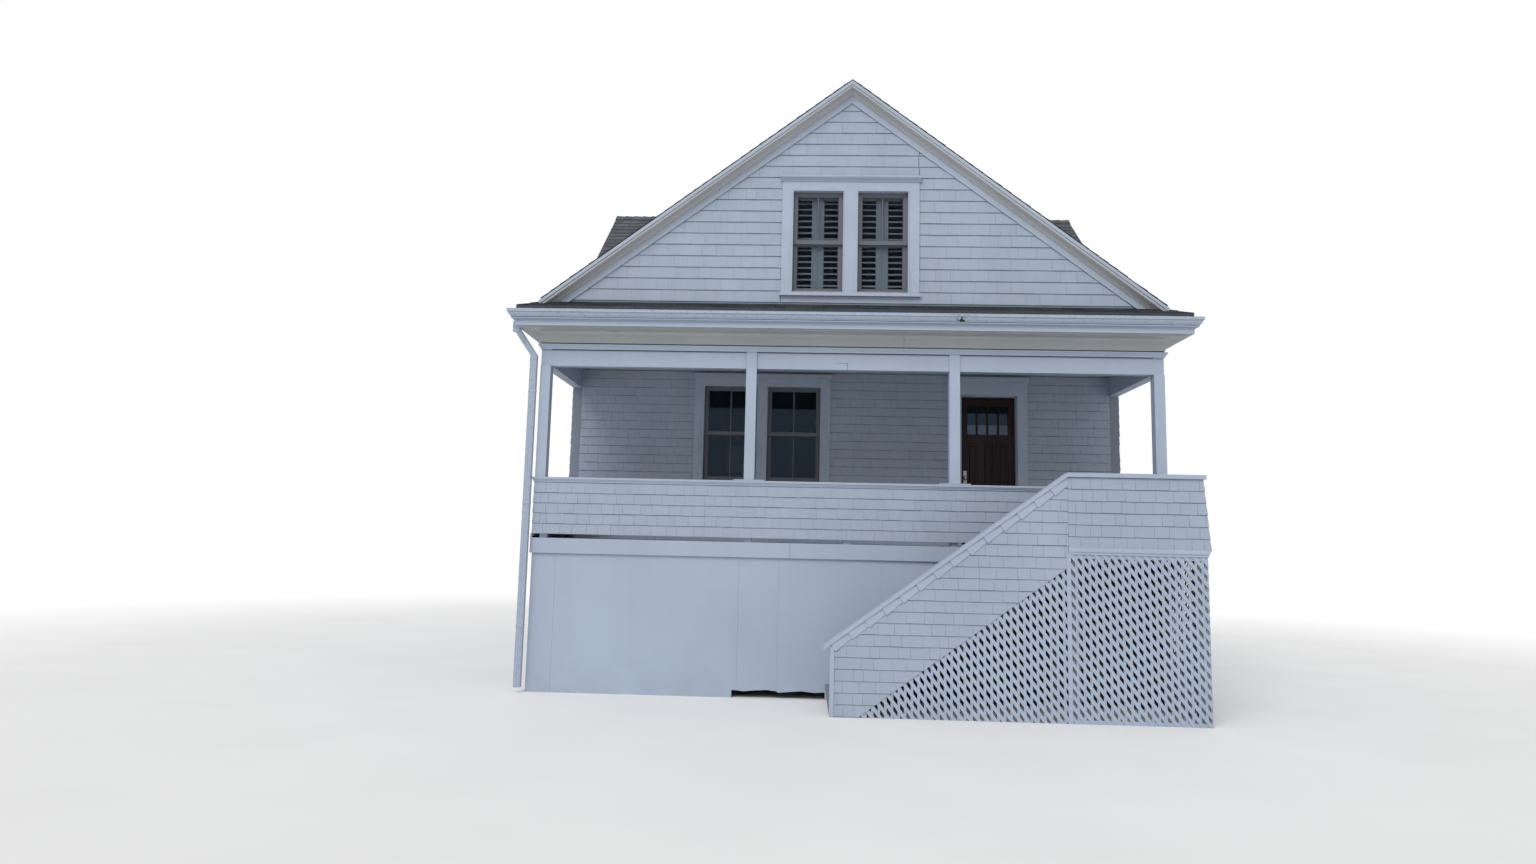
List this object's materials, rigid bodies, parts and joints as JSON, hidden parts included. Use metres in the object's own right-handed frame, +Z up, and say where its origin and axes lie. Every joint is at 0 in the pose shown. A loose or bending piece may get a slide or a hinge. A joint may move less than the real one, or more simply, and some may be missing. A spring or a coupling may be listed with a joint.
{
  "type": "beach house",
  "caption": "White shingled gable-front beach cottage with inset porch, side dormers, pent roof and a side stair with lattice to a raised landing.",
  "frame": {"origin": "on the ground below the middle of the porch front plane", "axes": "+X to the right seen from the front, +Y from the porch into the house, +Z up"},
  "size_m": [8.2, 10.635, 7.5056],
  "materials": {
    "white_trim": "white painted boards, matt with age",
    "white_shingle": "white painted wood shingles",
    "porch_boards": "grey painted floor boards",
    "floor_boards": "plain boards",
    "roof_shingle": "dark mineral roof shingles",
    "dormer_shingle": "weathered grey-brown roof shingles",
    "gutter_metal": "dull off-white paint",
    "hinge_steel": "aged",
    "door_wood": "dark brown varnish, satin",
    "door_glass": "clear",
    "handle_steel": "satin",
    "sash_paint": "white casings around taupe grey sashes",
    "shutter_paint": "blue-grey louvred shutters",
    "window_glass": "clear, dark rooms behind"
  },
  "bodies": {
    "house": {"base_front": "white_trim", "base_sides": "white_trim", "base_back": "white_trim", "skirt_board": "white_trim", "porch_floor": "porch_boards", "main_floor": "floor_boards", "front_wall_left": "white_shingle", "front_wall_right": "white_shingle", "front_wall_over_door": "white_shingle", "left_wall": "white_shingle", "right_wall": "white_shingle", "back_wall": "white_shingle", "attic_floor": "floor_boards", "front_gable": "white_shingle", "back_gable": "white_shingle", "roof_left": "roof_shingle", "roof_right": "roof_shingle", "dormer_wall_left": "white_shingle", "dormer_wall_right": "white_shingle", "dormer_roofs": "dormer_shingle", "pent_front": "roof_shingle", "pent_back": "roof_shingle", "rake_boards": "white_trim", "gutters": "gutter_metal", "downspout": "gutter_metal", "porch_beams": "white_trim", "porch_posts": "white_trim", "porch_parapet": "white_shingle", "porch_caps": "white_trim", "door_frame": "white_trim", "frame_hinges": "hinge_steel", "porch_windows": "sash_paint", "gable_windows": "sash_paint", "gable_shutters": "shutter_paint", "side_windows": "sash_paint", "attic_windows": "sash_paint", "window_glass": "window_glass", "stair_flight": "porch_boards", "landing_deck": "porch_boards", "stair_wall": "white_shingle", "landing_wall": "white_shingle", "stair_caps": "white_trim", "lattice_stair": "white_trim", "lattice_landing": "white_trim", "lattice_side": "white_trim"},
    "door": {"front_door": "door_wood", "door_glass": "door_glass", "door_hardware": "handle_steel"}
  },
  "joints": [
    {"name": "front_door_hinge", "type": "hinge", "parent": "house", "child": "door", "pos_m": [2.375, 1.822, 2.8], "axis": [0, 0, 1], "range_deg": [-95, 0]}
  ]
}
